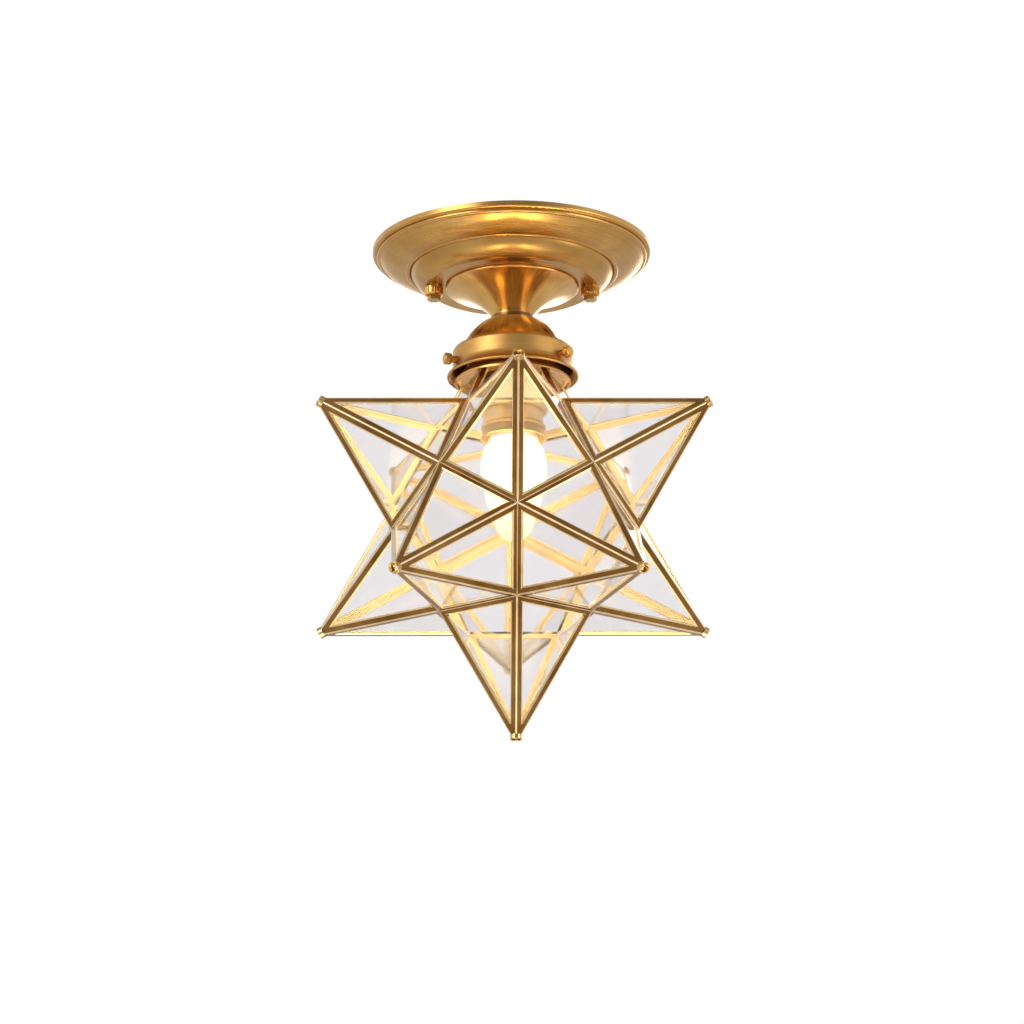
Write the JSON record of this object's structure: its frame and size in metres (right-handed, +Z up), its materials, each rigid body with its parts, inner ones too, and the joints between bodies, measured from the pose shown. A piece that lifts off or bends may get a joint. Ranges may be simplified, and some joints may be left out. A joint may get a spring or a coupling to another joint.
{
  "type": "semi-flush ceiling light",
  "caption": "Semi-flush ceiling light: a stepped brass canopy and trumpet stem carry a gallery whose thumbscrews grip a leaded glass star with a lit bulb inside.",
  "frame": {"origin": "centre of the ceiling face, where the canopy rim and the mounting bar meet the ceiling", "axes": "+Z up into the ceiling, -Y to the viewer, +X to the right"},
  "size_m": [0.2138, 0.2242, 0.2776],
  "materials": {
    "satin_brass": "brushed antique brass, satin, lacquered",
    "polished_brass": "polished antique brass",
    "dark_bronze": "dark bronze patina, rubbed lighter on the edges",
    "clear_glass": "clear float glass, 2 mm",
    "holder_metal": "dark bronze plated",
    "zinc_steel": "zinc plated",
    "ground_green": "green dyed zinc plate",
    "copper": "bare copper",
    "block_plastic": "natural nylon",
    "wire_black": "black insulation",
    "wire_white": "white insulation",
    "porcelain": "unglazed porcelain",
    "thread_aluminium": "pressed aluminium",
    "contact_brass": "plain brass",
    "insulator_glass": "black glass insulator",
    "bulb_glass": "clear bulb glass, lit warm white",
    "filament_support": "glass mount with lit filaments"
  },
  "bodies": {
    "root": {"mounting_bar": "zinc_steel", "canopy_studs": "zinc_steel", "stud_lock_nuts": "zinc_steel", "ground_screw": "ground_green", "lead_ground": "copper", "canopy": "satin_brass", "terminal_block": "block_plastic", "block_screws": "zinc_steel", "lead_live": "wire_black", "lead_neutral": "wire_white", "stem_trumpet": "satin_brass", "neck_collar": "polished_brass", "threaded_tube": "zinc_steel", "tube_washer": "zinc_steel", "tube_nuts": "zinc_steel", "gallery_dome": "polished_brass", "gallery_band": "satin_brass", "screw_bushes": "satin_brass", "holder_cap": "holder_metal", "holder_ring": "holder_metal", "holder_shell": "holder_metal", "holder_core": "porcelain", "holder_screw_shell": "thread_aluminium", "holder_contact": "contact_brass", "holder_terminals": "contact_brass"},
    "cap_nut_left_washer_body": {"cap_nut_left_washer": "satin_brass"},
    "cap_nut_left_body": {"cap_nut_left": "satin_brass"},
    "cap_nut_right_washer_body": {"cap_nut_right_washer": "satin_brass"},
    "cap_nut_right_body": {"cap_nut_right": "satin_brass"},
    "thumbscrew_left_shank_body": {"thumbscrew_left_shank": "satin_brass"},
    "thumbscrew_left_head_body": {"thumbscrew_left_head": "satin_brass"},
    "thumbscrew_right_shank_body": {"thumbscrew_right_shank": "satin_brass"},
    "thumbscrew_right_head_body": {"thumbscrew_right_head": "satin_brass"},
    "thumbscrew_back_shank_body": {"thumbscrew_back_shank": "satin_brass"},
    "thumbscrew_back_head_body": {"thumbscrew_back_head": "satin_brass"},
    "bulb_contact_body": {"bulb_contact": "contact_brass"},
    "bulb_body": {"bulb_insulator": "insulator_glass", "bulb_cap": "thread_aluminium", "bulb_envelope": "bulb_glass", "bulb_stem": "filament_support"},
    "sleeve_body": {"shade_sleeve": "satin_brass"},
    "shade_body": {"neck_plate": "satin_brass", "panes_top_spike": "clear_glass", "panes_bottom_spike": "clear_glass", "panes_upper_spike_1": "clear_glass", "panes_upper_spike_2": "clear_glass", "panes_upper_spike_3": "clear_glass", "panes_upper_spike_4": "clear_glass", "panes_upper_spike_5": "clear_glass", "panes_lower_spike_1": "clear_glass", "panes_lower_spike_2": "clear_glass", "panes_lower_spike_3": "clear_glass", "panes_lower_spike_4": "clear_glass", "panes_lower_spike_5": "clear_glass", "ridge_cames_top_spike": "dark_bronze", "ridge_cames_bottom_spike": "dark_bronze", "ridge_cames_upper_spikes": "dark_bronze", "ridge_cames_lower_spikes": "dark_bronze", "valley_cames": "dark_bronze", "spike_tip_collars": "dark_bronze"}
  },
  "joints": [
    {"name": "thumbscrew_left_travel", "type": "slide", "parent": "root", "child": "thumbscrew_left_shank_body", "axis": [-0.9397, -0.342, 0], "range_m": [0, 0.0025]},
    {"name": "thumbscrew_left_turn", "type": "hinge", "parent": "thumbscrew_left_shank_body", "child": "thumbscrew_left_head_body", "pos_m": [-0.03101, -0.01129, -0.0674], "axis": [-0.9397, -0.342, 0], "range_deg": [0, 1291]},
    {"name": "thumbscrew_right_travel", "type": "slide", "parent": "root", "child": "thumbscrew_right_shank_body", "axis": [0.766, -0.6428, 0], "range_m": [0, 0.0025]},
    {"name": "thumbscrew_right_turn", "type": "hinge", "parent": "thumbscrew_right_shank_body", "child": "thumbscrew_right_head_body", "pos_m": [0.02528, -0.02121, -0.0674], "axis": [0.766, -0.6428, 0], "range_deg": [0, 1291]},
    {"name": "thumbscrew_back_travel", "type": "slide", "parent": "root", "child": "thumbscrew_back_shank_body", "axis": [0.1736, 0.9848, 0], "range_m": [0, 0.0025]},
    {"name": "thumbscrew_back_turn", "type": "hinge", "parent": "thumbscrew_back_shank_body", "child": "thumbscrew_back_head_body", "pos_m": [0.00573, 0.0325, -0.0674], "axis": [0.1736, 0.9848, 0], "range_deg": [0, 1291]},
    {"name": "cap_nut_left_travel", "type": "slide", "parent": "root", "child": "cap_nut_left_washer_body", "axis": [0, 0, -1], "range_m": [0, 0.004]},
    {"name": "cap_nut_left_turn", "type": "hinge", "parent": "cap_nut_left_washer_body", "child": "cap_nut_left_body", "pos_m": [-0.0429, 0, -0.0221], "axis": [0, 0, -1], "range_deg": [0, 2063]},
    {"name": "cap_nut_right_travel", "type": "slide", "parent": "root", "child": "cap_nut_right_washer_body", "axis": [0, 0, -1], "range_m": [0, 0.004]},
    {"name": "cap_nut_right_turn", "type": "hinge", "parent": "cap_nut_right_washer_body", "child": "cap_nut_right_body", "pos_m": [0.0429, 0, -0.0221], "axis": [0, 0, -1], "range_deg": [0, 2063]},
    {"name": "bulb_travel", "type": "slide", "parent": "root", "child": "bulb_contact_body", "axis": [0, 0, -1], "range_m": [0, 0.01815]},
    {"name": "bulb_turn", "type": "hinge", "parent": "bulb_contact_body", "child": "bulb_body", "pos_m": [0, 0, -0.091], "axis": [0, 0, -1], "range_deg": [0, 1806]},
    {"name": "shade_lowering", "type": "slide", "parent": "root", "child": "sleeve_body", "axis": [0, 0, -1], "range_m": [0, 0.12]},
    {"name": "shade_swivel", "type": "hinge", "parent": "sleeve_body", "child": "shade_body", "pos_m": [0, 0, -0.0762], "axis": [0, 0, -1], "continuous": true}
  ],
  "couplings": [
    {"joint": "thumbscrew_left_turn", "follows": "thumbscrew_left_travel", "rad_per_m": 8976},
    {"joint": "thumbscrew_right_turn", "follows": "thumbscrew_right_travel", "rad_per_m": 8976},
    {"joint": "thumbscrew_back_turn", "follows": "thumbscrew_back_travel", "rad_per_m": 8976},
    {"joint": "cap_nut_left_turn", "follows": "cap_nut_left_travel", "rad_per_m": 8976},
    {"joint": "cap_nut_right_turn", "follows": "cap_nut_right_travel", "rad_per_m": 8976},
    {"joint": "bulb_turn", "follows": "bulb_travel", "rad_per_m": 1731.4}
  ]
}
